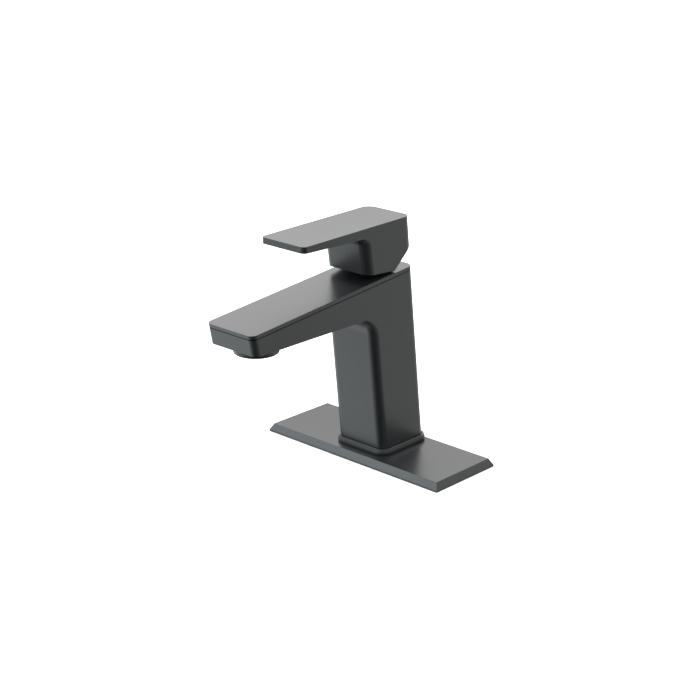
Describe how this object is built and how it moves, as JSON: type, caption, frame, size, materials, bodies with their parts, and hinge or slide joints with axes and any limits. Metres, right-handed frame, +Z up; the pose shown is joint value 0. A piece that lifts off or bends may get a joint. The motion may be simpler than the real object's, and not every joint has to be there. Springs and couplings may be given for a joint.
{
  "type": "bathroom mixer faucet",
  "caption": "Single-lever basin mixer: leaning square column, flat square spout and block lever handle on a rectangular deck plate, satin black.",
  "frame": {"origin": "centre of the deck plate's underside, on the base block's flat end face", "axes": "+Z up, +X along the deck plate to the right seen from the user, -Y towards the user along the spout"},
  "size_m": [0.16, 0.1717, 0.1726],
  "materials": {
    "satin_black": "satin",
    "brass": "satin",
    "copper": "satin",
    "steel": "satin",
    "rubber": "matte",
    "foam": "matte",
    "white_plastic": "satin",
    "grey_plastic": "satin",
    "ceramic": "satin"
  },
  "bodies": {
    "faucet_body": {"deck_plate": "satin_black", "deck_plate_gasket": "foam", "base_flange": "satin_black", "base_seal": "rubber", "base_block": "brass", "body_shell": "satin_black", "spout_cover": "satin_black", "hot_tube": "copper", "cold_tube": "copper", "outlet_tube": "copper", "outlet_block": "brass", "valve_core": "brass", "aerator_housing": "satin_black", "aerator_screen": "steel", "aerator_insert": "white_plastic", "aerator_washer": "rubber", "cartridge_base": "white_plastic", "hot_inlet_seal": "rubber", "cold_inlet_seal": "rubber", "fixed_disc": "ceramic", "cartridge_housing": "white_plastic", "housing_ring": "rubber", "retaining_nut": "brass", "trim_collar": "satin_black"},
    "rotor": {"spindle_guide": "grey_plastic", "pivot_pin": "steel"},
    "sliding_disc": {"disc_carrier": "grey_plastic", "moving_disc": "ceramic"},
    "handle": {"lever_handle": "satin_black", "lever_spindle": "brass", "handle_set_screw": "steel", "screw_cap": "satin_black"}
  },
  "joints": [
    {"name": "handle_turn", "type": "hinge", "parent": "faucet_body", "child": "rotor", "pos_m": [0, -0.0085, 0.13617], "axis": [0, -0.0941, 0.9956], "range_deg": [-45, 45]},
    {"name": "handle_lift", "type": "hinge", "parent": "rotor", "child": "handle", "pos_m": [0, -0.00864, 0.13766], "axis": [-1, 0, 0], "range_deg": [0, 25]},
    {"name": "disc_slide", "type": "slide", "parent": "rotor", "child": "sliding_disc", "axis": [0, -0.9956, -0.0941], "range_m": [0, 0.0046]}
  ],
  "couplings": [
    {"joint": "disc_slide", "follows": "handle_lift", "m_per_rad": 0.01017}
  ]
}
